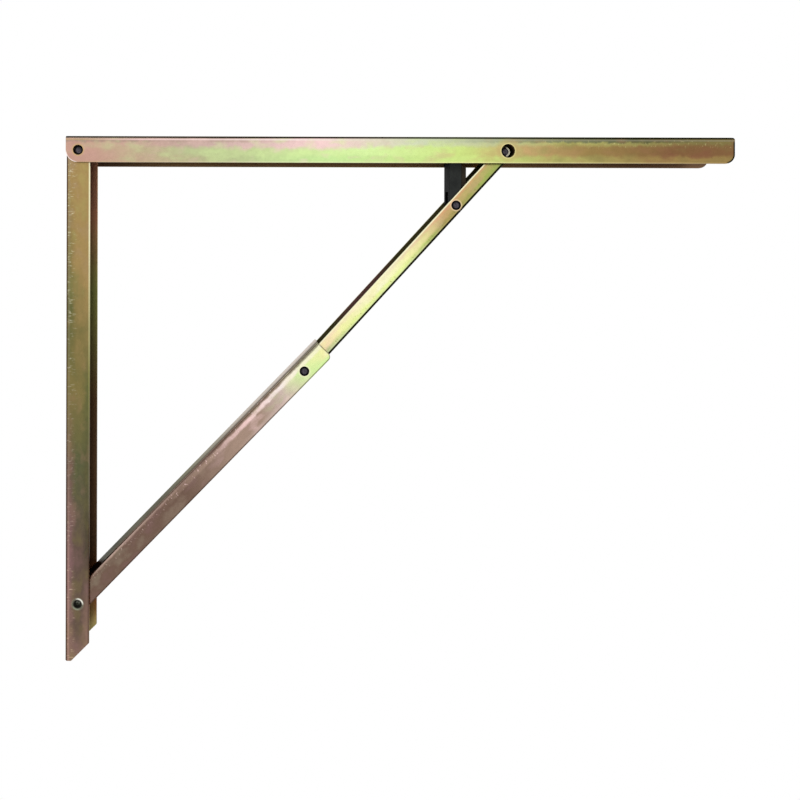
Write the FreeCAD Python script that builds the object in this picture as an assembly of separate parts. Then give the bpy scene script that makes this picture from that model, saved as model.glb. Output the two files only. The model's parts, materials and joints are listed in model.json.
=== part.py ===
import FreeCAD, Part
import math
import os

# Folding bracket for a drop leaf, shown open. X runs out from the wall along the leaf, Z up, Y across the
# channels. The origin is on the wall, midway between the outermost screw holes of the wall arm. Sizes in mm.

V = FreeCAD.Vector
across = V(0, 1, 0)

# Sheet and nesting: each channel folds into the next wider one
sheet = 1.2               # thickness of the folded steel
bend = 0.9                # inside radius of the folds
inner_width = 12.1        # clear width inside the upper brace, the narrowest channel
side_gap = 0.4            # from one channel to the next, on each side
fold_gap = 0.3            # folded bracket: leaf arm to the wall, lower brace to the wall arm's web
nest_gap = 0.45           # folded bracket: upper brace's web to the lower brace's web
web_gap = 0.75            # from a free edge or a hub to the web that it faces
stop_gap = 0.45           # left at the knee's stop when the bracket is open
running_gap = 0.06        # round a pin that a piece turns on

# Linkage, between pivot centres
wall_span = 320.0         # main hinge down to the wall pivot
leaf_span = 302.0         # main hinge out to the leaf pivot
over_centre = 1.8         # degrees that the open knee lies past the straight line
lever_reach = 51.4        # leaf pivot back along the upper brace to the lever pin
wall_offset = 8.9         # wall plane to the pivots
leaf_offset = 10.0        # leaf face to the pivots

# Arms
leaf_length = 470.0       # wall plane to the leaf arm's tip
wall_foot = 40.0          # wall pivot down to the foot of the wall arm
foot_chamfer = 12.5       # cut off the foot's free corner
tip_round = 6.4           # free corner of the leaf arm's tip
tip_web_round = 1.6       # web corner of the same tip
screw_hole = 5.5          # diameter, wood screws through the webs
screw_pitch = 30.0        # first to second screw hole of each arm
wall_screw_top = 25.0     # main hinge down to the first wall screw
wall_screw_foot = 15.0    # last wall screw up from the foot
leaf_screw_root = 25.0    # main hinge out to the first leaf screw
leaf_screw_mid = 53.0     # leaf pivot out to the third leaf screw
leaf_screw_tip = 21.0     # last leaf screw in from the tip
hinge_window = 7.1        # diameter, leaf arm's hole over the main hinge pin
access_hole = 9.7         # diameter, leaf arm's hole over the leaf pivot pin

# Braces
knee_overlap = 21.0       # lower brace past the knee, where the upper brace stops against its web
knee_corner = 3.5         # free corner of that end
lower_end = 6.0           # lower brace past the wall pivot
lower_round = 5.8         # corners of that end
upper_end = 5.2           # upper brace past the knee and past the leaf pivot
upper_round = 5.0         # corners of those ends
web_relief = 8.0          # webs cut back from the pivots they turn on

# Pins, riveted flush into countersunk flanges
pin_diameter = 5.0
pin_head = 6.9
pin_dimple = 4.2          # shallow dish in each pin's ends
dimple_floor = 2.6        # width of the dish at its bottom
dimple_depth = 0.35
drilled_diameter = 6.4    # wall pivot pin, with drilled ends
drilled_head = 8.2
drilled_hole = 4.6
drilled_floor = 4.4
drilled_depth = 4.0

# Clip that carries the leaf pivot, riveted under the leaf arm's web
ear_round = 4.2           # round the pivot
clip_tail = 28.0          # leaf pivot to the end of the clip's tongue
tongue_round = 2.5        # corners of the tongue
rivet_first = 13.0        # leaf pivot to the first rivet
rivet_pitch = 9.0
rivet_diameter = 4.0
rivet_head = 6.4
rivet_head_height = 1.4

# Release lever and its spring
lever_length = 34.0       # lever pin to the top of the lever
lever_left = 4.2          # lever pin to the lever's side away from the leaf pivot
lever_right = 4.6         # lever pin to its other side
lever_chamfer = 3.5       # top corner away from the leaf pivot
lever_round = 0.8         # moulded edges
fin_reach = 8.3           # lever pin to the edge of the finger fin on the lever's other side
fin_top = 28.0            # lever pin to the top of the fin
fin_height = 17.0
fin_inset = 1.8           # fin in from each side of the lever
fin_round = 1.5           # corners of the fin
spring_slot = 5.2         # width of the slot in the lever's hub
slot_height = 10.0        # lever pin to the top of that slot
wire = 0.8
spring_gap = 0.3          # coil round the lever pin
spring_pitch = 1.0        # from one turn to the next
spring_turns = 3          # whole turns between the legs
turn_steps = 14           # short straight runs that make up each turn
spring_leg = 8.0

# Widths over the flanges
upper_width = inner_width + 2 * sheet
lower_width = upper_width + 2 * (side_gap + sheet)
wall_width = lower_width + 2 * (side_gap + sheet)
leaf_width = wall_width + 2 * (side_gap + sheet)
clip_width = inner_width - 2 * side_gap

# Brace lengths that close the triangle when open and lie in one line when folded
triangle = wall_span**2 + leaf_span**2
difference = wall_span - leaf_span
product = (triangle - difference**2) / (2 * (1 + math.cos(math.radians(over_centre))))
upper_length = (math.sqrt(difference**2 + 4 * product) - difference) / 2
lower_length = upper_length + difference
knee_angle = math.radians(180 - over_centre)
foot_angle = math.asin(upper_length * math.sin(knee_angle) / math.sqrt(triangle))
lower_tilt = math.degrees(math.atan2(wall_span, leaf_span) - foot_angle)
upper_tilt = lower_tilt + over_centre

# How far each channel's web and free edge lie from its line of pivots
leaf_edge = wall_offset - fold_gap
wall_edge = leaf_offset - sheet - web_gap
lower_web = wall_offset - sheet - fold_gap
lower_edge = leaf_offset - 2 * sheet - web_gap
upper_web = lower_web - sheet - nest_gap
upper_edge = lower_web - sheet - stop_gap - knee_overlap * math.sin(math.radians(over_centre))
hub_round = upper_web - sheet - web_gap

# Pivot centres
wall_length = wall_span + wall_foot
hinge = V(wall_offset, 0, (wall_screw_top + wall_length - wall_screw_foot) / 2)
wall_pivot = hinge - V(0, 0, wall_span)
leaf_pivot = hinge + V(leaf_span, 0, 0)


def along(tilt, distance):
    angle = math.radians(tilt)
    return V(math.cos(angle), 0, math.sin(angle)) * distance


knee = wall_pivot + along(lower_tilt, lower_length)
lever_pivot = leaf_pivot - along(upper_tilt, lever_reach)


def set_at(shape, pivot, tilt=0.0):
    """A shape drawn about the origin along X, turned up by tilt degrees and moved to its pivot."""
    return shape.rotated(V(), across, -tilt).translated(pivot)


def edges_through(shape, direction, test):
    """Straight edges along a direction whose middle passes the test."""
    found = []
    for edge in shape.Edges:
        run = edge.Vertexes[-1].Point - edge.Vertexes[0].Point
        if run.Length > 0 and abs(run.normalize().dot(direction)) > 0.999 and test(edge.CenterOfMass):
            found.append(edge)
    return found


def near(a, b):
    return abs(a - b) < 1e-6


def corner_edge(shape, x, z):
    """The edge across the bracket at one corner of a side outline."""
    return edges_through(shape, across, lambda c: near(c.x, x) and near(c.z, z))


def box_between(start, end, low, high, width):
    return Part.makeBox(end - start, width, high - low, V(start, -width / 2, low))


def folded_web(start, end, web, edge, width, radius):
    """Block with the two long edges on its web side rounded."""
    block = box_between(start, end, min(web, edge), max(web, edge), width)
    return block.makeFillet(radius, edges_through(block, V(1, 0, 0), lambda c: near(c.z, web)))


def channel(start, end, web, edge, width, fillets=(), chamfers=()):
    """U channel along X with its web's outer face at height web and its flanges running to height edge.

    fillets and chamfers list (x, z, size) for corners of the side outline.
    """
    inward = math.copysign(sheet, edge - web)
    hollow = folded_web(start, end, web + inward, edge + inward, width - 2 * sheet, bend)
    folded = folded_web(start, end, web, edge, width, bend + sheet).cut(hollow)
    outline = box_between(start, end, min(web, edge), max(web, edge), width)
    for x, z, size in fillets:
        outline = outline.makeFillet(size, corner_edge(outline, x, z))
    for x, z, size in chamfers:
        outline = outline.makeChamfer(size, corner_edge(outline, x, z))
    return folded.common(outline)


def rod(radius, width, x=0.0, z=0.0):
    """Cylinder across the bracket."""
    return Part.makeCylinder(radius, width, V(x, -width / 2, z), across)


def rivet_bar(diameter, head, width):
    """Bar across the bracket with a countersunk head, one sheet deep, flush at each end."""
    bar = rod(diameter / 2, width)
    for side in (-1, 1):
        end = across * (side * width / 2)
        bar = bar.fuse(Part.makeCone(head / 2, diameter / 2, sheet, end, across * -side))
    return bar.removeSplitter()


def dished(bar, width, mouth, depth, floor):
    """The same bar with a round dish sunk into each end."""
    for side in (-1, 1):
        end = across * (side * width / 2)
        bar = bar.cut(Part.makeCone(mouth / 2, floor / 2, depth, end, across * -side))
    return bar


def pivot_pin(width):
    return dished(rivet_bar(pin_diameter, pin_head, width), width, pin_dimple, dimple_depth, dimple_floor)


def screw_holes(depths, web):
    """Holes through a web at the given distances along X."""
    reach = V(0, 0, 2 * bend + 2 * sheet)
    return [Part.makeCylinder(screw_hole / 2, 2 * reach.z, V(x, 0, web) - reach) for x in depths]


def cut_all(shape, tools):
    return shape.cut(Part.makeCompound(tools)).removeSplitter()


def running_hole(diameter, x, width):
    return rod(diameter / 2 + running_gap, width, x)


def riveted_hole(diameter, head, x, width):
    return rivet_bar(diameter, head, width).translated(V(x, 0, 0))


def leaf_arm():
    root, tip = -leaf_edge, leaf_length - wall_offset
    rounds = [(root, -leaf_edge, leaf_edge - fold_gap),
              (tip, -leaf_edge, tip_round),
              (tip, leaf_offset, tip_web_round)]
    arm = channel(root, tip, leaf_offset, -leaf_edge, leaf_width, rounds)
    screws = [leaf_screw_root, leaf_screw_root + screw_pitch]
    screws += [leaf_span + leaf_screw_mid, tip - leaf_screw_tip]
    holes = screw_holes(screws, leaf_offset)
    holes += [rod(hinge_window / 2, leaf_width), rod(access_hole / 2, leaf_width, leaf_span)]
    holes += [clip_rivet().translated(V(x, 0, 0)) for x in clip_rivet_places()]
    return set_at(cut_all(arm, holes), hinge)


def wall_arm():
    top = -wall_edge
    rounds = [(top, wall_edge, wall_edge - fold_gap)]
    arm = channel(top, wall_length, -wall_offset, wall_edge, wall_width, rounds,
                  [(wall_length, wall_edge, foot_chamfer)])
    screws = [wall_screw_top, wall_screw_top + screw_pitch, wall_length - wall_screw_foot]
    holes = screw_holes(screws, -wall_offset)
    holes.append(riveted_hole(pin_diameter, pin_head, 0, wall_width))
    holes.append(riveted_hole(drilled_diameter, drilled_head, wall_span, wall_width))
    return set_at(cut_all(arm, holes), hinge, -90)


def lower_brace():
    end = lower_length + knee_overlap
    rounds = [(-lower_end, lower_web, lower_round), (-lower_end, -lower_edge, lower_round),
              (end, -lower_edge, knee_corner)]
    brace = channel(-lower_end, end, lower_web, -lower_edge, lower_width, rounds)
    relief = box_between(-lower_end, web_relief, 0, lower_web, lower_width - 2 * sheet)
    holes = [relief, running_hole(drilled_diameter, 0, lower_width),
             riveted_hole(pin_diameter, pin_head, lower_length, lower_width)]
    return set_at(cut_all(brace, holes), wall_pivot, lower_tilt)


def upper_brace():
    end = upper_length + upper_end
    rounds = [(x, z, upper_round) for x in (-upper_end, end) for z in (-upper_web, upper_edge)]
    brace = channel(-upper_end, end, -upper_web, upper_edge, upper_width, rounds)
    holes = [box_between(-upper_end, web_relief, -upper_web, 0, inner_width),
             box_between(upper_length - web_relief, end, -upper_web, 0, inner_width),
             running_hole(pin_diameter, 0, upper_width)]
    for x in (upper_length - lever_reach, upper_length):
        holes.append(riveted_hole(pin_diameter, pin_head, x, upper_width))
    return set_at(cut_all(brace, holes), knee, upper_tilt)


def wall_pivot_pin():
    bar = rivet_bar(drilled_diameter, drilled_head, wall_width)
    return set_at(dished(bar, wall_width, drilled_hole, drilled_depth, drilled_floor), wall_pivot)


def clip_rivet_places():
    return [leaf_span + rivet_first, leaf_span + rivet_first + rivet_pitch]


def clip_rivet():
    """Rivet through clip and web, countersunk flush in the leaf face, drawn about the main hinge."""
    seat = leaf_offset - 2 * sheet
    shank, rim, bevel = rivet_diameter / 2, rivet_head / 2, rivet_head_height / 2
    profile = [V(0, 0, seat - rivet_head_height),
               V(rim - bevel, 0, seat - rivet_head_height),
               V(rim, 0, seat - bevel),
               V(rim, 0, seat),
               V(shank, 0, seat),
               V(shank, 0, seat + sheet),
               V(rim, 0, leaf_offset),
               V(0, 0, leaf_offset)]
    return Part.Face(Part.makePolygon(profile + profile[:1])).revolve(V(), V(0, 0, 1), 360)


def pivot_bracket():
    """Two ears that hang from a base, with a tongue riveted to the leaf arm's web."""
    base = leaf_offset - sheet
    ears = rod(ear_round, clip_width).fuse(box_between(-ear_round, ear_round, 0, base, clip_width))
    clip = channel(-ear_round, ear_round, base, -ear_round, clip_width).common(ears)
    tongue = box_between(ear_round, clip_tail, base - sheet, base, clip_width - 2 * (sheet + bend))
    corners = edges_through(tongue, V(0, 0, 1), lambda c: near(c.x, clip_tail))
    tongue = tongue.makeFillet(tongue_round, corners)
    holes = [running_hole(pin_diameter, 0, clip_width)]
    holes += [clip_rivet().translated(V(x - leaf_span, 0, 0)) for x in clip_rivet_places()]
    return set_at(cut_all(clip.fuse(tongue), holes), leaf_pivot)


def release_lever():
    hub = rod(hub_round, clip_width)
    stem = box_between(-lever_left, lever_right, 0, lever_length, clip_width)
    stem = stem.makeChamfer(lever_chamfer, corner_edge(stem, -lever_left, lever_length))
    stem = stem.makeFillet(lever_round, edges_through(stem, V(0, 0, 1), lambda c: True))
    fin = box_between(0, fin_reach, fin_top - fin_height, fin_top, clip_width - 2 * fin_inset)
    fin = fin.makeFillet(fin_round, edges_through(fin, across, lambda c: near(c.x, fin_reach)))
    slot = box_between(-lever_left, lever_right, -hub_round, slot_height, spring_slot)
    lever = hub.fuse([stem, fin])
    return set_at(cut_all(lever, [slot, running_hole(pin_diameter, 0, clip_width)]), lever_pivot)


def lever_spring():
    """Torsion spring round the lever pin, one leg back along the upper brace's web and one up the lever."""
    radius = pin_diameter / 2 + spring_gap + wire / 2
    turns = spring_turns + (90 - upper_tilt) / 360
    rise = turns * spring_pitch
    steps = round(turns * turn_steps)
    points = []
    for step in range(steps + 1):
        angle = 2 * math.pi * turns * step / steps
        points.append(V(radius * math.cos(angle), radius * math.sin(angle), rise * step / steps))
    section = Part.Wire(Part.makeCircle(wire / 2, points[0], points[1] - points[0]))
    coil = Part.makePolygon(points).makePipeShell([section], True, False, 1)
    up_leg = Part.makeCylinder(wire / 2, spring_leg, V(radius, 0, rise), across)
    spring = coil.fuse(up_leg.rotated(V(), V(0, 0, 1), turns * 360))
    spring = spring.fuse(Part.makeCylinder(wire / 2, spring_leg, V(radius, 0, 0), across * -1))
    spring = spring.translated(V(0, 0, -rise / 2)).rotated(V(), V(1, 0, 0), 90)
    return set_at(spring, lever_pivot, upper_tilt - 90)


def export(name, shape):
    solids = shape.Solids
    (solids[0] if len(solids) == 1 else Part.makeCompound(solids)).exportStep("parts/" + name + ".step")


os.makedirs("parts", exist_ok=True)
export("leaf_arm", leaf_arm())
export("wall_arm", wall_arm())
export("lower_brace", lower_brace())
export("upper_brace", upper_brace())
export("main_hinge_pin", set_at(pivot_pin(wall_width), hinge))
export("wall_pivot_pin", wall_pivot_pin())
export("knee_pin", set_at(pivot_pin(lower_width), knee))
export("leaf_pivot_pin", set_at(pivot_pin(upper_width), leaf_pivot))
export("lever_pin", set_at(pivot_pin(upper_width), lever_pivot))
export("release_lever", release_lever())
export("lever_spring", lever_spring())
export("pivot_bracket", pivot_bracket())
export("pivot_bracket_rivets", set_at(Part.makeCompound(
    [clip_rivet().translated(V(x, 0, 0)) for x in clip_rivet_places()]), hinge))
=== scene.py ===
import json
import math
import bpy
from mathutils import Euler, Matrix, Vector


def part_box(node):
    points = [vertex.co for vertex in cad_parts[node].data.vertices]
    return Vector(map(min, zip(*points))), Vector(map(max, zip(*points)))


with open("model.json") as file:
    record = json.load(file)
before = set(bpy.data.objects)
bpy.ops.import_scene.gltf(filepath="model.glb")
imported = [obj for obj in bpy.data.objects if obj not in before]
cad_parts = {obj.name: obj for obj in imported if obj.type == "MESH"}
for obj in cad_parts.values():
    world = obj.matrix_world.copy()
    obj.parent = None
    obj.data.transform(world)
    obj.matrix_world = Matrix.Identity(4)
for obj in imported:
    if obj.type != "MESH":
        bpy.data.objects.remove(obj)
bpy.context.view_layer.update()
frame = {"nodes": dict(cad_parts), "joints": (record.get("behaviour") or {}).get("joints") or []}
print("frame loaded:", len(frame["nodes"]), "nodes")

mm = 0.001
joints = {joint["name"]: joint for joint in frame["joints"]}
wallPivot, knee, leafPivot, leverPivot = (
    Vector(joints[name]["pos_m"]) for name in ("wall_pivot", "knee_fold", "leaf_pivot", "lever_pivot"))
hinge = sum(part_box("main_hinge_pin"), Vector()) / 2


def tiltOf(start, end):
    return math.atan2(end.z - start.z, end.x - start.x)


def spacing(start, end):
    return (end - start).length / mm


def linear(code):
    # sRGB hex to the linear values that the sockets take
    parts = [int(code[i:i + 2], 16) / 255 for i in (1, 3, 5)]
    return [p / 12.92 if p <= 0.04045 else ((p + 0.055) / 1.055) ** 2.4 for p in parts] + [1.0]


def nodeAdder(tree):
    def add(kind, inputs=None, stops=None, **settings):
        node = tree.nodes.new("ShaderNode" + kind)
        for name, value in settings.items():
            setattr(node, name, value)
        for name, value in (inputs or {}).items():
            if isinstance(value, bpy.types.NodeSocket):
                tree.links.new(value, node.inputs[name])
            else:
                node.inputs[name].default_value = value
        if stops:
            marks = node.color_ramp.elements
            while len(marks) < len(stops):
                marks.new(1.0)
            for mark, (place, colour) in zip(marks, stops):
                mark.position = place
                mark.color = colour
        return node
    return add


def newMaterial(name):
    material = bpy.data.materials.new(name)
    material.use_nodes = True
    material.node_tree.nodes.clear()
    return material, nodeAdder(material.node_tree)


def dress(node, material):
    mesh = frame["nodes"][node].data
    mesh.materials.clear()
    mesh.materials.append(material)


def reachOf(node, origin, tilt):
    # corners of a CAD piece in its own millimetres: along its line of pivots, across it and up from it
    piece = frame["nodes"][node]
    turn = Euler((0, -tilt, 0)).to_matrix().inverted()
    places = [turn @ (piece.matrix_world @ vertex.co - origin) / mm for vertex in piece.data.vertices]
    return [Vector(pick(place[i] for place in places) for i in range(3)) for pick in (min, max)]


black, white = (0, 0, 0, 1), (1, 1, 1, 1)
fewBelow, fewAbove = 0.3, 0.7  # most values of a noise lie between these

# Tints of a yellow chromate film, matched to the object: pale, green, gold, rose and brown, then the darks of
# the painted shade on the folds, edges and channels' insides
film = {
    "cream": "#fdfad2", "straw": "#faf7b2", "citron": "#ecf9a0", "lime": "#dcf8a8", "chartreuse": "#d1e587",
    "pistachio": "#cbeb9e", "celadon": "#d3dcb8", "sage": "#b9c090", "leek": "#a3b45c", "sedge": "#8e926c",
    "reed": "#7f8048", "ochre": "#b6b36a", "flax": "#d3cc8f", "gold": "#c7a873", "apricot": "#dba878",
    "peach": "#fcdeb8", "pearl": "#fff1ec", "blush": "#f8d4d1", "shell": "#d3bdb4", "roseGrey": "#c3a89c",
    "rose": "#c49b8b", "fawn": "#a98f80", "taupe": "#8d7063", "mauve": "#846465", "plum": "#775550",
    "cocoa": "#735c50", "loam": "#65534a", "bronze": "#a58a58", "umber": "#9c824f", "olive": "#837648",
    "moss": "#67683f", "grove": "#5b5e40", "drab": "#5b5544", "dusk": "#57522f", "bog": "#50463a",
    "ash": "#96917c", "clay": "#9c6f55", "rust": "#8f5630", "brick": "#875a44", "russet": "#836140",
    "bark": "#6b5236", "peat": "#5f4630", "soot": "#483429", "ink": "#17180f",
}

# Sizes in millimetres, pairs from where a change begins to where it is full, and shares of a noise
filmLook = {
    "cloud": (26, 26, 8), "blotch": (15, 15, 8), "ragged": 6, "crystal": 2.2, "pull": 0.25,
    "thin": (0.52, 0.68), "thick": (0.48, 0.32), "specks": (0.60, 0.72), "webFrom": (1.4, 2.2),
    "flangeFrom": (2.1, 1.7), "foldFade": 0.5, "edgeLineWidth": (1.1, 0.5), "cornerFade": 2.0, "skin": (0.5, 0.8),
    "mouth": 0.4, "mottle": (0.94, 1.05), "roughness": (0.22, 0.36), "insideMetal": 0.5,
    "grazing": (0.5, 0.5, 0.45, 1.0), "relief": 0.2, "reliefStrength": 0.06,
}
lengthBands = (
    "flat", "shoulder", "rim", "crest", "edge", "inner", "web", "thin", "thick", "foldHighlight", "wearAndGlint")
# painted shade across the web, darker beside its folds
shadedFolds = [(0.0, "soot", 0.2), (0.12, "soot", 0.0), (0.88, "soot", 0.0), (1.0, "soot", 0.2)]

# Tints by their place along the piece in millimetres, some with an amount. Each band has the few that its
# drift needs. Bands lie across the flange, from its free edge at 0 to the web at 1.
# Corners: end, radius, width of the line, straight run above, tint, amount
# Halos: place, inner and outer radius, tint, amount
# Of these, the edge, fold, corner and halo tints are mostly painted highlights and painted shade along the
# edges, folds and holes, and the inner, across and dark tints are painted shade
channels = {
    "leaf_arm": {
        "origin": hinge, "tilt": 0.0, "webUp": True,
        "drift": 9.0, "wave": 0.3, "depthShade": (1.6, 0.6),
        "flat": [
            (10, "rose"), (80, "sage"), (200, "lime"), (270, "chartreuse"), (310, "gold"), (360, "umber"),
            (420, "russet")],
        "shoulder": [
            (10, "rose", 0.4), (80, "roseGrey", 0.8), (170, "blush", 1.0), (240, "celadon", 0.5),
            (340, "ochre", 0.5), (440, "olive", 0.3)],
        "shoulderBand": (0.42, 0.62),
        "rim": [
            (10, "rose"), (100, "sage"), (180, "pistachio"), (280, "chartreuse"), (330, "ochre"),
            (400, "umber")],
        "rimBand": (0.36, 0.16),
        "crest": [
            (20, "fawn"), (110, "roseGrey"), (170, "blush"), (240, "celadon"), (320, "sedge"), (390, "grove"),
            (450, "olive")],
        "crestBand": (0.72, 0.82),
        "edge": [(0, "gold", 0.3), (150, "cream", 0.3), (280, "straw", 0.5), (450, "gold", 0.3)],
        "inner": [(0, "soot"), (60, "bark"), (300, "bark"), (400, "peat")],
        "web": [(0, "rose"), (60, "sage"), (200, "lime"), (290, "ochre"), (380, "gold"), (450, "olive")],
        "foldHighlight": [
            (0, "gold", 0.7), (40, "blush", 0.9), (150, "pearl", 1.0), (240, "celadon", 0.5),
            (340, "ash", 0.7)],
        "highlightBand": (0.82, 0.86, 0.895),
        "dark": "ink", "foldShadeBand": (0.893, 0.925, 0.99, 1.0), "foldReach": 0.8,
        "thin": [(0, "sage", 0.4), (150, "lime", 0.4), (260, "chartreuse", 0.5), (350, "olive", 0.4)],
        "thick": [(0, "rose", 0.5), (160, "blush", 0.4), (290, "gold", 0.4), (420, "brick", 0.6)],
        "across": shadedFolds,
        "halos": [
            (0.0, 3.5, 5.2, "gold", 0.75), (spacing(hinge, leafPivot), 5.1, 5.8, "straw", 0.7),
            (spacing(hinge, leafPivot), 6.5, 9.5, "gold", 0.4)],
        "wearAndGlint": [(100, "cream", 0.1), (300, "flax", 0.2), (340, "flax", 0.6), (450, "flax", 0.4)],
        "wearAndGlintBand": (0.50, 0.66), "tick": (1.0, 2.0),
        # painted shade round the tip's corner, painted highlight round the root's
        "corners": [("tip", 6.4, 1.4, 10.0, "ink", 1.0), ("root", 8.3, 0.6, 0.0, "pearl", 0.9)],
    },
    "wall_arm": {
        "origin": hinge, "tilt": math.radians(-90), "webUp": False,
        "drift": 12.0, "wave": 0.4, "depthShade": (1.7, 0.5),
        "flat": [
            (80, "bronze"), (130, "olive"), (170, "olive"), (220, "grove"), (280, "loam"), (340, "loam"),
            (360, "taupe")],
        "shoulder": [
            (20, "bronze"), (110, "moss"), (170, "olive"), (220, "cocoa"), (290, "mauve"), (350, "taupe")],
        "shoulderBand": (0.52, 0.86),
        "rim": [(90, "bronze"), (170, "moss"), (280, "bog"), (350, "taupe")],
        "rimBand": (0.34, 0.10),
        "edge": [(60, "cream", 0.8), (160, "ochre", 0.4), (220, "ash", 0.2), (270, "soot", 0.6)],
        "inner": [(50, "clay"), (100, "reed"), (180, "peat"), (290, "peat"), (320, "rust"), (350, "olive")],
        "web": [(20, "bronze"), (90, "ochre"), (180, "olive"), (290, "mauve"), (350, "taupe")],
        "foldHighlight": [(20, "ash", 0.4), (200, "ash", 0.25), (300, "rose", 0.45)],
        "highlightBand": (0.80, 0.86, 0.90),
        "dark": "soot", "foldShadeBand": (0.90, 0.935, 0.995, 1.0), "foldReach": 0.8,
        "thin": [(20, "ochre", 0.2), (120, "moss", 0.5), (350, "olive", 0.3)],
        "thick": [(20, "fawn", 0.4), (120, "bronze", 0.4), (300, "mauve", 0.5)],
        "across": shadedFolds,
        "halos": [(spacing(hinge, wallPivot), 4.2, 4.9, "ash", 0.35)],
        "wearAndGlint": [(60, "cream", 0.5), (250, "shell", 0.35), (350, "peach", 0.5)],
        "wearAndGlintBand": (0.50, 0.80), "tick": (0.8, 3.2),
        "corners": [],
    },
    "lower_brace": {
        "origin": wallPivot, "tilt": tiltOf(wallPivot, knee), "webUp": True,
        "drift": 8.0, "wave": 0.15, "depthShade": (1.0, 0.8),
        "flat": [(110, "cocoa"), (160, "fawn"), (185, "fawn"), (205, "shell"), (230, "lime"), (245, "straw")],
        "shoulder": [(90, "cocoa"), (140, "fawn"), (175, "blush"), (210, "pearl"), (240, "cream")],
        "shoulderBand": (0.62, 0.74),
        "rim": [(110, "cocoa"), (160, "fawn"), (205, "shell"), (235, "lime")],
        "rimBand": (0.30, 0.08),
        "crest": [(10, "cocoa"), (45, "fawn"), (150, "taupe"), (200, "fawn"), (240, "ash")],
        "crestBand": (0.83, 0.91),
        "edge": [(200, "soot", 0.8), (230, "moss", 0.8)],
        "inner": [(0, "peat"), (250, "bark")],
        # painted shade on the web near the wall arm, lightening towards the knee
        "web": [(40, "ink"), (60, "drab"), (90, "drab"), (120, "ash"), (190, "pearl")],
        "foldHighlight": [(0, "fawn", 0.3), (40, "roseGrey", 0.95), (140, "loam", 0.95), (220, "drab", 0.9)],
        "highlightBand": (0.885, 0.95, 0.985),
        "dark": "soot", "foldShadeBand": (0.955, 0.98, 0.999, 1.0), "foldReach": 0.8,
        "thin": [(0, "ash", 0.3), (170, "fawn", 0.3), (200, "sage", 0.5), (240, "lime", 0.5)],
        "thick": [(110, "mauve", 0.35), (190, "blush", 0.5), (225, "cream", 0.5)],
        # painted shade over the near half of the web, and a dark line of painted shade at its far edge
        "across": [
            (0.0, "soot", 0.95), (0.25, "soot", 0.85), (0.45, "soot", 0.2), (0.6, "soot", 0.0),
            (0.9, "soot", 0.0), (1.0, "ink", 0.6)],
        "halos": [(spacing(wallPivot, knee), 3.6, 5.0, "cream", 0.7)],
        "wearAndGlint": [
            (0, "cream", 0.1), (40, "shell", 0.4), (130, "blush", 0.8), (210, "pearl", 0.8),
            (240, "cream", 0.2)],
        "wearAndGlintBand": (0.60, 0.70), "tick": (1.2, 1.8),
        "corners": [("tip", 3.5, 0.7, 10.0, "soot", 0.7)],
    },
    "upper_brace": {
        "origin": knee, "tilt": tiltOf(knee, leafPivot), "webUp": False,
        "drift": 8.0, "wave": 0.3, "depthShade": (1.0, 0.8),
        "flat": [(20, "peach"), (45, "straw"), (80, "cream"), (110, "straw"), (150, "gold"), (200, "ochre")],
        "shoulder": [
            (20, "sage"), (50, "citron"), (100, "citron"), (135, "leek"), (155, "bronze"), (180, "leek")],
        "shoulderBand": (0.44, 0.72),
        "rim": [(20, "peach"), (80, "cream"), (150, "apricot"), (200, "gold")],
        "rimBand": (0.34, 0.14),
        "edge": [(0, "cream", 0.9), (210, "cream", 0.9)],
        "inner": [(40, "dusk"), (60, "plum"), (85, "plum"), (105, "dusk")],
        "web": [(0, "straw"), (100, "sage"), (150, "gold"), (205, "leek")],
        "foldHighlight": [(0, "celadon", 0.8), (110, "celadon", 0.7), (150, "gold", 0.5), (210, "ash", 0.5)],
        "highlightBand": (0.735, 0.775, 0.815),
        "dark": "ink", "foldShadeBand": (0.80, 0.84, 0.995, 1.0), "foldReach": 1.5,
        "thin": [(100, "citron", 0.3), (150, "ochre", 0.5), (210, "leek", 0.5)],
        "thick": [(0, "peach", 0.5), (100, "straw", 0.5), (150, "rose", 0.4), (210, "gold", 0.4)],
        "across": shadedFolds,
        "halos": [
            (spacing(knee, leverPivot), 3.5, 4.8, "peach", 0.6),
            # painted shade over the brace's end where it lies under the leaf arm
            (spacing(knee, leafPivot), 7.0, 8.0, "ink", 0.95)],
        "wearAndGlint": [(0, "olive", 0.8), (90, "olive", 0.6)],
        "wearAndGlintBand": (0.46, 0.66), "tick": (1.0, 1.6),
        "corners": [],
    },
}


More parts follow.
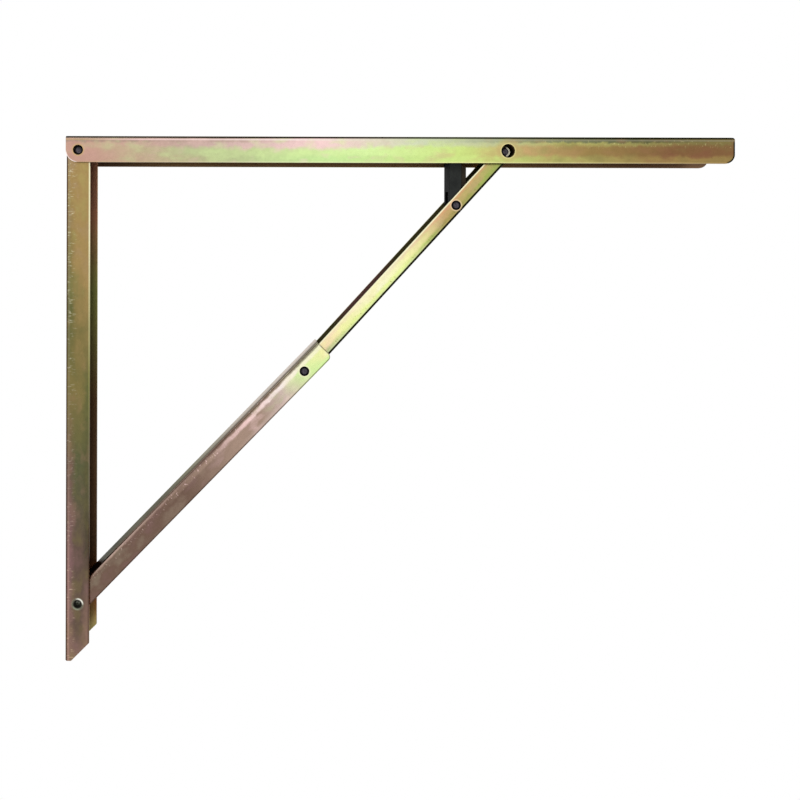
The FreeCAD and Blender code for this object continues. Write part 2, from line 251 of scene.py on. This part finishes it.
def platedSteel(name, node, look):
    # Bent sheet steel, zinc plated and yellow passivated: a satin mirror under an uneven film whose thickness
    # drifts along the piece, so the eye sees rose, green and straw run into each other. The tints also carry
    # painted reflections, lighter or darker from place to place along and across each piece
    material, add = newMaterial("yellow_passivated_zinc_" + name)
    low, high = reachOf(node, look["origin"], look["tilt"])
    web, edge = (high.z, low.z) if look["webUp"] else (low.z, high.z)
    half, deep = high.y, high.z - low.z
    place = add("TexCoord")
    local = add("Mapping", {
        "Vector": place.outputs["Object"], "Location": look["origin"], "Rotation": (0, -look["tilt"], 0),
        "Scale": (mm, mm, mm)}, vector_type="TEXTURE")  # millimetres along, across and up
    spot = local.outputs["Vector"]
    axes = add("SeparateXYZ", {"Vector": spot})
    along, sideways, up = axes.outputs

    # film tints by length, their bounds pulled about by a slow cloud
    slow = add("Mapping", {"Vector": spot, "Scale": [1 / size for size in filmLook["cloud"]]})
    cloud = add("TexNoise", {"Vector": slow.outputs["Vector"], "Scale": 1.0, "Detail": 4.0})
    drifted = add("Math", {
        0: cloud.outputs["Fac"], 1: 2 * look["drift"], 2: along}, operation="MULTIPLY_ADD")
    share = add("MapRange", {
        "Value": drifted.outputs[0], "From Min": low.x + look["drift"], "From Max": high.x + look["drift"]})
    ramps = {}
    for band in lengthBands:
        if band in look:
            stops = [((station - low.x) / (high.x - low.x), linear(film[tint])[:3] + (amount or [1.0]))
                     for station, tint, *amount in look[band]]
            ramps[band] = add("ValToRGB", {"Fac": share.outputs["Result"]}, stops=stops)

    # height on the flange, 0 at the free edge and 1 on the web's outer face
    height = add("MapRange", {"Value": up, "From Min": edge, "From Max": web}, clamp=False)
    ragged = add("TexNoise", {"Vector": spot, "Scale": 1 / filmLook["ragged"], "Detail": 5.0})
    wavyHeight = add("Math", {
        0: ragged.outputs["Fac"], 1: look["wave"], 2: height.outputs["Result"]}, operation="MULTIPLY_ADD")
    lift = look["wave"] / 2  # what the waves add on average
    colour = ramps["flat"].outputs["Color"]
    for band in ("shoulder", "rim", "crest"):
        if band not in look:
            continue
        begins, ends = look[band + "Band"]
        pull = math.copysign(filmLook["pull"], ends - begins)
        reach = add("Math", {  # a band with a smaller amount stays nearer to its own edge
            0: ramps[band].outputs["Alpha"], 1: pull, 2: wavyHeight.outputs[0]}, operation="MULTIPLY_ADD")
        there = add("MapRange", {
            "Value": reach.outputs[0], "From Min": begins + lift + pull, "From Max": ends + lift + pull},
            interpolation_type="SMOOTHSTEP")
        colour = add("Mix", {
            0: there.outputs["Result"], 6: colour, 7: ramps[band].outputs["Color"]},
            data_type="RGBA").outputs[2]

    # soft patches of a thinner and a thicker film
    blotch = add("Mapping", {"Vector": spot, "Scale": [1 / size for size in filmLook["blotch"]]})
    patches = add("TexNoise", {"Vector": blotch.outputs["Vector"], "Scale": 1.0, "Detail": 3.0})
    for band in ("thin", "thick"):
        begins, ends = filmLook[band]
        there = add("MapRange", {
            "Value": patches.outputs["Fac"], "From Min": begins, "From Max": ends,
            "To Max": ramps[band].outputs["Alpha"]})
        colour = add("Mix", {
            0: there.outputs["Result"], 6: colour, 7: ramps[band].outputs["Color"]},
            data_type="RGBA").outputs[2]

    # ticks and specks scuffed into the film where the piece rubs, and painted highlights among them
    tickLength, tickHeight = look["tick"]
    tick = add("Mapping", {"Vector": spot, "Scale": (1 / tickLength, 1, 1 / tickHeight)})
    marks = add("TexNoise", {"Vector": tick.outputs["Vector"], "Scale": 1.0, "Detail": 2.0})
    begins, ends = filmLook["specks"]
    sparse = add("MapRange", {"Value": marks.outputs["Fac"], "From Min": begins, "From Max": ends})
    begins, ends = look["wearAndGlintBand"]
    wearAndGlintZone = add("MapRange", {
        "Value": wavyHeight.outputs[0], "From Min": begins + lift, "From Max": ends + lift})
    markedSpots = add("Math", {0: sparse.outputs["Result"], 1: wearAndGlintZone.outputs["Result"]}, operation="MULTIPLY")
    markShare = add("Math", {0: markedSpots.outputs[0], 1: ramps["wearAndGlint"].outputs["Alpha"]}, operation="MULTIPLY")
    colour = add("Mix", {
        0: markShare.outputs[0], 6: colour, 7: ramps["wearAndGlint"].outputs["Color"]}, data_type="RGBA").outputs[2]

    # web's own tint with painted shade across it, then the fold: a painted highlight where it leaves the
    # flange and a line of painted shade towards the web
    outward = add("Math", {0: sideways}, operation="ABSOLUTE")
    begins, ends = filmLook["webFrom"]
    onWeb = add("MapRange", {"Value": outward.outputs[0], "From Min": half - begins, "From Max": half - ends})
    acrossShare = add("MapRange", {"Value": sideways, "From Min": -half, "From Max": half})
    across = add("ValToRGB", {"Fac": acrossShare.outputs["Result"]}, stops=[
        (part, linear(film[tint])[:3] + [amount]) for part, tint, amount in look["across"]])
    webTint = add("Mix", {
        0: across.outputs["Alpha"], 6: ramps["web"].outputs["Color"], 7: across.outputs["Color"]},
        data_type="RGBA")
    colour = add("Mix", {
        0: onWeb.outputs["Result"], 6: colour, 7: webTint.outputs[2]}, data_type="RGBA").outputs[2]
    begins, ends = filmLook["flangeFrom"]
    onFlange = add("MapRange", {
        "Value": outward.outputs[0], "From Min": half - begins, "From Max": half - ends})
    # painted highlight along the fold
    paintedHighlightLine = add("ValToRGB", {"Fac": height.outputs["Result"]},
                    stops=list(zip(look["highlightBand"], (black, white, black))))
    highlightShare = add("Math", {
        0: paintedHighlightLine.outputs["Color"], 1: ramps["foldHighlight"].outputs["Alpha"]}, operation="MULTIPLY")
    highlightOn = add("Math", {0: highlightShare.outputs[0], 1: onFlange.outputs["Result"]}, operation="MULTIPLY")
    colour = add("Mix", {
        0: highlightOn.outputs[0], 6: colour, 7: ramps["foldHighlight"].outputs["Color"]},
        data_type="RGBA").outputs[2]
    # painted shade along the outer side of the fold
    paintedFoldShade = add("ValToRGB", {"Fac": height.outputs["Result"]},
                   stops=list(zip(look["foldShadeBand"], (black, white, white, black))))
    onSide = add("MapRange", {
        "Value": outward.outputs[0], "From Min": half - look["foldReach"] - filmLook["foldFade"],
        "From Max": half - look["foldReach"]})
    foldShadeOn = add("Math", {0: paintedFoldShade.outputs["Color"], 1: onSide.outputs["Result"]}, operation="MULTIPLY")
    colour = add("Mix", {
        0: foldShadeOn.outputs[0], 6: colour, 7: linear(film[look["dark"]])}, data_type="RGBA").outputs[2]

    # sheared free edge: a painted highlight where the sheared edge would take the light, and on the wall arm
    # and lower brace painted shade along it
    inwards = math.copysign(1.0, web - edge)
    begins, ends = filmLook["edgeLineWidth"]
    onEdge = add("MapRange", {
        "Value": up, "From Min": edge + inwards * begins, "From Max": edge + inwards * ends})
    edgeShare = add("Math", {
        0: onEdge.outputs["Result"], 1: ramps["edge"].outputs["Alpha"]}, operation="MULTIPLY")
    colour = add("Mix", {
        0: edgeShare.outputs[0], 6: colour, 7: ramps["edge"].outputs["Color"]}, data_type="RGBA").outputs[2]

    # rounded lower corners of the side outline: a painted highlight along the rim of the leaf arm's root,
    # painted shade along the rims of the tips
    for end, radius, width, straight, tint, amount in look["corners"]:
        side, centre = (1, high.x - radius) if end == "tip" else (-1, low.x + radius)
        outX = add("Math", {0: along, 1: side, 2: -side * centre}, operation="MULTIPLY_ADD")
        outZ = add("Math", {0: up, 1: -1, 2: edge + radius}, operation="MULTIPLY_ADD")
        corner = add("CombineXYZ", {"X": outX.outputs[0], "Z": outZ.outputs[0]})
        kept = add("VectorMath", {0: corner.outputs[0], 1: (0, 0, 0)}, operation="MAXIMUM")
        radial = add("VectorMath", {0: kept.outputs[0]}, operation="LENGTH")
        line = add("MapRange", {
            "Value": radial.outputs["Value"], "From Min": radius - width, "From Max": radius - width / 2,
            "To Max": amount})
        tall = add("Math", {0: outZ.outputs[0], 1: straight})
        both = add("Math", {0: outX.outputs[0], 1: tall.outputs[0]}, operation="MINIMUM")
        turned = add("MapRange", {"Value": both.outputs[0], "From Max": filmLook["cornerFade"]})
        lineShare = add("Math", {
            0: line.outputs["Result"], 1: turned.outputs["Result"]}, operation="MULTIPLY")
        colour = add("Mix", {
            0: lineShare.outputs[0], 6: colour, 7: linear(film[tint])}, data_type="RGBA").outputs[2]

    # rings round the pins and holes: painted highlights at their edges, and on the upper brace painted shade
    # over its end under the leaf arm
    for station, innerRadius, outerRadius, tint, amount in look["halos"]:
        centre = add("CombineXYZ", {"X": station, "Y": sideways})
        distance = add("VectorMath", {0: spot, 1: centre.outputs[0]}, operation="DISTANCE")
        ring = add("MapRange", {
            "Value": distance.outputs["Value"], "From Min": outerRadius, "From Max": innerRadius,
            "To Max": amount}, interpolation_type="SMOOTHSTEP")
        colour = add("Mix", {
            0: ring.outputs["Result"], 6: colour, 7: linear(film[tint])}, data_type="RGBA").outputs[2]

    # inside of the channel, duller and browner: painted shade, deepening away from the free edge
    begins, ends = filmLook["skin"]
    within = add("MapRange", {
        "Value": outward.outputs[0], "From Min": half - begins, "From Max": half - ends})
    underWeb = add("MapRange", {
        "Value": height.outputs["Result"], "From Min": 1 - begins / deep, "From Max": 1 - ends / deep})
    inside = add("Math", {0: within.outputs["Result"], 1: underWeb.outputs["Result"]}, operation="MULTIPLY")
    nearEdge, inDepth = look["depthShade"]
    depthShade = add("MapRange", {
        "Value": height.outputs["Result"], "From Max": filmLook["mouth"],
        "To Min": nearEdge, "To Max": inDepth})
    shadedInner = add("VectorMath", {
        0: ramps["inner"].outputs["Color"], "Scale": depthShade.outputs["Result"]}, operation="SCALE")
    colour = add("Mix", {
        0: inside.outputs[0], 6: colour, 7: shadedInner.outputs[0]}, data_type="RGBA").outputs[2]

    # mottle of the zinc's crystals, drawn coarser than they are so that it shows
    fine = add("TexNoise", {
        "Vector": spot, "Scale": 1 / filmLook["crystal"], "Detail": 5.0, "Roughness": 0.65})
    dim, light = filmLook["mottle"]
    mottle = add("MapRange", {
        "Value": fine.outputs["Fac"], "From Min": fewBelow, "From Max": fewAbove,
        "To Min": dim, "To Max": light})
    mottled = add("VectorMath", {0: colour, "Scale": mottle.outputs["Result"]}, operation="SCALE")
    smooth, rough = filmLook["roughness"]
    roughness = add("MapRange", {
        "Value": cloud.outputs["Fac"], "From Min": fewBelow, "From Max": fewAbove,
        "To Min": smooth, "To Max": rough})
    relief = add("Bump", {
        "Height": fine.outputs["Fac"], "Strength": filmLook["reliefStrength"],
        "Distance": filmLook["relief"] * mm})
    metal = add("MapRange", {"Value": inside.outputs[0], "To Min": 1.0, "To Max": filmLook["insideMetal"]})
    shader = add("BsdfPrincipled", {
        "Base Color": mottled.outputs[0], "Metallic": metal.outputs["Result"],
        "Roughness": roughness.outputs["Result"], "Normal": relief.outputs["Normal"],
        "Specular Tint": filmLook["grazing"]})  # the film dulls a grazing look
    add("OutputMaterial", {"Surface": shader.outputs["BSDF"]})
    return material


for nodeName, settings in channels.items():
    dress(nodeName, platedSteel(nodeName, nodeName, settings))
clipLook = dict(channels["upper_brace"], origin=leafPivot, tilt=0.0, webUp=True, halos=[])
dress("pivot_bracket", platedSteel("clip", "pivot_bracket", clipLook))
print("channels plated")


def roundThePivot(add, origin):
    # millimetres from a pivot, and the distance from its axis
    place = add("TexCoord")
    local = add("Mapping", {
        "Vector": place.outputs["Object"], "Location": origin, "Scale": (mm, mm, mm)}, vector_type="TEXTURE")
    axes = add("SeparateXYZ", {"Vector": local.outputs["Vector"]})
    flatPlace = add("CombineXYZ", {"X": axes.outputs["X"], "Z": axes.outputs["Z"]})
    radius = add("VectorMath", {0: flatPlace.outputs[0]}, operation="LENGTH")
    return local.outputs["Vector"], axes.outputs, radius.outputs["Value"]


# Sizes in millimetres. The leaf pivot's pin has a painted highlight on one side of its rim, seen through the
# access hole
pinLook = {
    "ring": "#100f11", "centre": "#4b474d", "rimHighlight": "#f7f3dc", "dish": 2.0, "dishFade": 0.9, "wave": 0.9,
    "blur": 1.2, "blurSpread": (0.35, 0.65), "shade": (0.55, 1.4), "roughness": (0.3, 0.55),
    "rub": 2.4, "highlightFade": 0.2, "highlightSide": (0.4, 1.6), "highlightMetal": 0.1,
    "rimHighlightShare": {"leaf_pivot_pin": 0.95},
}


def darkSteel(name, origin):
    # Cold-headed steel pin: near black rim, a dull grey dish in the middle, and on the leaf pivot's pin a
    # painted highlight on one side of the rim
    material, add = newMaterial("dark_riveted_steel_" + name)
    spot, axes, radius = roundThePivot(add, origin)
    blur = add("TexNoise", {"Vector": spot, "Scale": 1 / pinLook["blur"], "Detail": 3.0})
    wavy = add("Math", {0: blur.outputs["Fac"], 1: pinLook["wave"], 2: radius}, operation="MULTIPLY_ADD")
    rim = add("MapRange", {
        "Value": wavy.outputs[0], "From Min": pinLook["dish"],
        "From Max": pinLook["dish"] + pinLook["dishFade"]},
        interpolation_type="SMOOTHSTEP")
    colour = add("Mix", {
        0: rim.outputs["Result"], 6: linear(pinLook["centre"]), 7: linear(pinLook["ring"])}, data_type="RGBA")
    begins, ends = pinLook["blurSpread"]
    dim, light = pinLook["shade"]
    shade = add("MapRange", {
        "Value": blur.outputs["Fac"], "From Min": begins, "From Max": ends, "To Min": dim, "To Max": light})
    worked = add("VectorMath", {0: colour.outputs[2], "Scale": shade.outputs["Result"]}, operation="SCALE")
    # painted highlight on one side of the rim, made a dull white rather than metal
    markedSpots = add("MapRange", {
        "Value": radius, "From Min": pinLook["rub"], "From Max": pinLook["rub"] + pinLook["highlightFade"],
        "To Max": pinLook["rimHighlightShare"].get(name, 0.0)})
    begins, ends = pinLook["highlightSide"]
    oneSide = add("MapRange", {"Value": axes["X"], "From Min": begins, "From Max": ends})
    markShare = add("Math", {0: markedSpots.outputs["Result"], 1: oneSide.outputs["Result"]}, operation="MULTIPLY")
    bright = add("Mix", {
        0: markShare.outputs[0], 6: worked.outputs[0], 7: linear(pinLook["rimHighlight"])}, data_type="RGBA")
    smooth, rough = pinLook["roughness"]
    roughness = add("MapRange", {"Value": blur.outputs["Fac"], "To Min": smooth, "To Max": rough})
    metal = add("MapRange", {"Value": markShare.outputs[0], "To Min": 1.0, "To Max": pinLook["highlightMetal"]})
    shader = add("BsdfPrincipled", {
        "Base Color": bright.outputs[2], "Metallic": metal.outputs["Result"],
        "Roughness": roughness.outputs["Result"]})
    add("OutputMaterial", {"Surface": shader.outputs["BSDF"]})
    return material


pinPlaces = {
    "main_hinge_pin": hinge, "knee_pin": knee, "leaf_pivot_pin": leafPivot, "lever_pin": leverPivot,
    "pivot_bracket_rivets": leafPivot,
}
for nodeName, origin in pinPlaces.items():
    dress(nodeName, darkSteel(nodeName, origin))
print("pins dressed")

# Sizes in millimetres, and the tints of the face by their share of a turn, which paint a highlight on one
# side of the rim and a softer light across from it
rivetLook = {
    "hole": "#dfe3d4", "lip": "#2b2a25", "face": "#6f6b5d", "bright": "#f0efe4", "green": "#8f937f",
    "fans": [(0.04, "face"), (0.15, "green"), (0.27, "green"), (0.36, "face"), (0.46, "face"),
             (0.55, "bright"), (0.73, "bright"), (0.82, "face")],
    "bore": (2.25, 1.9), "mouth": (3.4, 2.9), "grain": 0.6, "shade": (0.8, 1.1), "roughness": (0.25, 0.5),
}


def turnedRivet(name, origin):
    # Turned and plated steel: a dull face round a drilled hole, a dark ring of painted shade at the hole's
    # mouth, a painted highlight on one side of the rim and a softer painted light across from it, and a grain
    # drawn coarse enough to show
    material, add = newMaterial("turned_plated_steel_" + name)
    spot, axes, radius = roundThePivot(add, origin)
    angle = add("Math", {0: axes["Z"], 1: axes["X"]}, operation="ARCTAN2")
    turn = add("MapRange", {"Value": angle.outputs[0], "From Min": -math.pi, "From Max": math.pi})
    fans = add("ValToRGB", {"Fac": turn.outputs["Result"]}, stops=[
        (part, linear(rivetLook[tint])) for part, tint in rivetLook["fans"]])
    grain = add("TexNoise", {"Vector": spot, "Scale": 1 / rivetLook["grain"], "Detail": 3.0})
    begins, ends = rivetLook["mouth"]
    onLip = add("MapRange", {"Value": radius, "From Min": begins, "From Max": ends})
    lipped = add("Mix", {
        0: onLip.outputs["Result"], 6: fans.outputs["Color"], 7: linear(rivetLook["lip"])}, data_type="RGBA")
    begins, ends = rivetLook["bore"]
    inHole = add("MapRange", {"Value": radius, "From Min": begins, "From Max": ends})
    colour = add("Mix", {
        0: inHole.outputs["Result"], 6: lipped.outputs[2], 7: linear(rivetLook["hole"])}, data_type="RGBA")
    dim, light = rivetLook["shade"]
    shade = add("MapRange", {
        "Value": grain.outputs["Fac"], "From Min": fewBelow, "From Max": fewAbove,
        "To Min": dim, "To Max": light})
    worked = add("VectorMath", {0: colour.outputs[2], "Scale": shade.outputs["Result"]}, operation="SCALE")
    smooth, rough = rivetLook["roughness"]
    roughness = add("MapRange", {"Value": grain.outputs["Fac"], "To Min": smooth, "To Max": rough})
    shader = add("BsdfPrincipled", {
        "Base Color": worked.outputs[0], "Metallic": 1.0, "Roughness": roughness.outputs["Result"]})
    add("OutputMaterial", {"Surface": shader.outputs["BSDF"]})
    return material


dress("wall_pivot_pin", turnedRivet("wall_pivot", wallPivot))

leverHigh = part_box("release_lever")[1]
leverLook = {
    # the sides' near black is painted shade, and the fin's brown is painted shade of plated steel
    "face": "#2b2d2c", "side": "#050506", "fin": "#352e25",
    "front": leverHigh.y - 0.6 * mm, "frontFade": 0.4 * mm,
    "finSide": leverPivot.x + 4.8 * mm, "finFade": 0.2 * mm,
    "spark": 0.7 * mm, "patch": 8 * mm, "relief": 0.1 * mm, "reliefStrength": 0.15,
    "shade": (0.75, 1.25), "roughness": (0.45, 0.65), "specular": 0.05,
}


def blackNylon():
    # Glass filled nylon, moulded with a spark texture, drawn coarse enough to show: satin grey-black faces,
    # sides painted near black as shade, and a fin painted the brown of plated steel in shade
    material, add = newMaterial("black_moulded_nylon")
    place = add("TexCoord")
    axes = add("SeparateXYZ", {"Vector": place.outputs["Object"]})
    outward = add("Math", {0: axes.outputs["Y"]}, operation="ABSOLUTE")
    onFace = add("MapRange", {
        "Value": outward.outputs[0], "From Min": leverLook["front"],
        "From Max": leverLook["front"] + leverLook["frontFade"]})
    onFin = add("MapRange", {
        "Value": axes.outputs["X"], "From Min": leverLook["finSide"],
        "From Max": leverLook["finSide"] + leverLook["finFade"]})
    spark = add("TexNoise", {
        "Vector": place.outputs["Object"], "Scale": 1 / leverLook["spark"], "Detail": 2.0})
    patch = add("TexNoise", {
        "Vector": place.outputs["Object"], "Scale": 1 / leverLook["patch"], "Detail": 3.0})
    faced = add("Mix", {
        0: onFace.outputs["Result"], 6: linear(leverLook["side"]), 7: linear(leverLook["face"])},
        data_type="RGBA")
    finned = add("Mix", {
        0: onFin.outputs["Result"], 6: faced.outputs[2], 7: linear(leverLook["fin"])}, data_type="RGBA")
    dim, light = leverLook["shade"]
    shade = add("MapRange", {
        "Value": patch.outputs["Fac"], "From Min": fewBelow, "From Max": fewAbove,
        "To Min": dim, "To Max": light})
    colour = add("VectorMath", {0: finned.outputs[2], "Scale": shade.outputs["Result"]}, operation="SCALE")
    smooth, rough = leverLook["roughness"]
    roughness = add("MapRange", {"Value": patch.outputs["Fac"], "To Min": smooth, "To Max": rough})
    relief = add("Bump", {
        "Height": spark.outputs["Fac"], "Strength": leverLook["reliefStrength"],
        "Distance": leverLook["relief"]})
    shader = add("BsdfPrincipled", {
        "Base Color": colour.outputs[0], "Roughness": roughness.outputs["Result"],
        "Specular IOR Level": leverLook["specular"], "Normal": relief.outputs["Normal"]})
    add("OutputMaterial", {"Surface": shader.outputs["BSDF"]})
    return material


springLook = {"dull": "#6f6f70", "bright": "#a3a29e", "grain": 0.6 * mm, "roughness": (0.2, 0.4)}


def springWire():
    # Drawn spring steel: bright grey with a fine grain, made coarse enough to show
    material, add = newMaterial("drawn_spring_steel")
    place = add("TexCoord")
    grain = add("TexNoise", {
        "Vector": place.outputs["Object"], "Scale": 1 / springLook["grain"], "Detail": 3.0})
    colour = add("Mix", {
        0: grain.outputs["Fac"], 6: linear(springLook["dull"]), 7: linear(springLook["bright"])},
        data_type="RGBA")
    smooth, rough = springLook["roughness"]
    roughness = add("MapRange", {"Value": grain.outputs["Fac"], "To Min": smooth, "To Max": rough})
    shader = add("BsdfPrincipled", {
        "Base Color": colour.outputs[2], "Metallic": 1.0, "Roughness": roughness.outputs["Result"]})
    add("OutputMaterial", {"Surface": shader.outputs["BSDF"]})
    return material


dress("release_lever", blackNylon())
dress("lever_spring", springWire())
print("lever, rivet and spring dressed")

# Camera close in, left of the middle and above it, so the view is shifted. Focal length and axis in pixels
view = {
    "place": (0.128, -0.400, 0.1185), "roll": -0.15, "focal": 552.8, "axis": (247.4, 244.9), "image": 800,
    "sensor": 36.0,
}
cameraData = bpy.data.cameras.new("camera")
cameraData.sensor_width = view["sensor"]
cameraData.lens = view["sensor"] * view["focal"] / view["image"]
cameraData.shift_x = 0.5 - view["axis"][0] / view["image"]
cameraData.shift_y = view["axis"][1] / view["image"] - 0.5
camera = bpy.data.objects.new("camera", cameraData)
camera.location = view["place"]
camera.rotation_euler = (math.radians(90), math.radians(view["roll"]), 0)
bpy.context.scene.collection.objects.link(camera)
bpy.context.scene.camera = camera

# Plain studio: a pale floor well below, white all round, two soft lamps
studio = {
    "middle": 0.235, "floor": -0.42, "reach": 1.4, "back": 0.10, "around": 0.95,
    "pale": "#eeeeec", "paler": "#f6f6f4", "patches": 3.0, "roughness": 0.8,
}
floorPlace = (studio["middle"], studio["back"] - studio["reach"], studio["floor"])
bpy.ops.object.select_all(action="DESELECT")
bpy.ops.mesh.primitive_plane_add(size=2, location=floorPlace)
floor = bpy.context.object
floor.name = "studio_floor"
floor.scale = (studio["reach"], studio["reach"], 1)
floorMaterial, addFloor = newMaterial("pale_studio_floor")
floorSpot = addFloor("TexCoord")
floorNoise = addFloor("TexNoise", {"Vector": floorSpot.outputs["Object"], "Scale": studio["patches"]})
floorColour = addFloor("Mix", {
    0: floorNoise.outputs["Fac"], 6: linear(studio["pale"]), 7: linear(studio["paler"])}, data_type="RGBA")
floorShader = addFloor("BsdfPrincipled", {
    "Base Color": floorColour.outputs[2], "Roughness": studio["roughness"]})
addFloor("OutputMaterial", {"Surface": floorShader.outputs["BSDF"]})
floor.data.materials.append(floorMaterial)

world = bpy.data.worlds.new("studio")
bpy.context.scene.world = world
world.use_nodes = True
world.node_tree.nodes.clear()
addWorld = nodeAdder(world.node_tree)
ray = addWorld("LightPath")
seen = addWorld("Math", {
    0: ray.outputs["Is Camera Ray"], 1: ray.outputs["Is Glossy Ray"]}, operation="MAXIMUM")
shown = addWorld("Math", {
    0: seen.outputs[0], 1: ray.outputs["Is Transmission Ray"]}, operation="MAXIMUM")
strength = addWorld("MapRange", {
    "Value": shown.outputs[0], "To Min": studio["around"], "To Max": 1.0})
backdrop = addWorld("Background", {"Color": white, "Strength": strength.outputs["Result"]})
addWorld("OutputWorld", {"Surface": backdrop.outputs["Background"]})

lamps = {
    "key": {"energy": 6.0, "size": 0.9, "place": (-0.5, -0.9, 1.2)},
    "fill": {"energy": 2.0, "size": 1.2, "place": (0.9, 0.5, 1.2)},
}
for lampName, lampLook in lamps.items():
    lampData = bpy.data.lights.new(lampName, "AREA")
    lampData.energy = lampLook["energy"]
    lampData.size = lampLook["size"]
    lamp = bpy.data.objects.new(lampName, lampData)
    lamp.location = lampLook["place"]
    lamp.rotation_euler = (hinge - lamp.location).to_track_quat("-Z", "Y").to_euler()
    bpy.context.scene.collection.objects.link(lamp)
bpy.context.scene.view_settings.view_transform = "Standard"
print("camera, floor and lamps set")
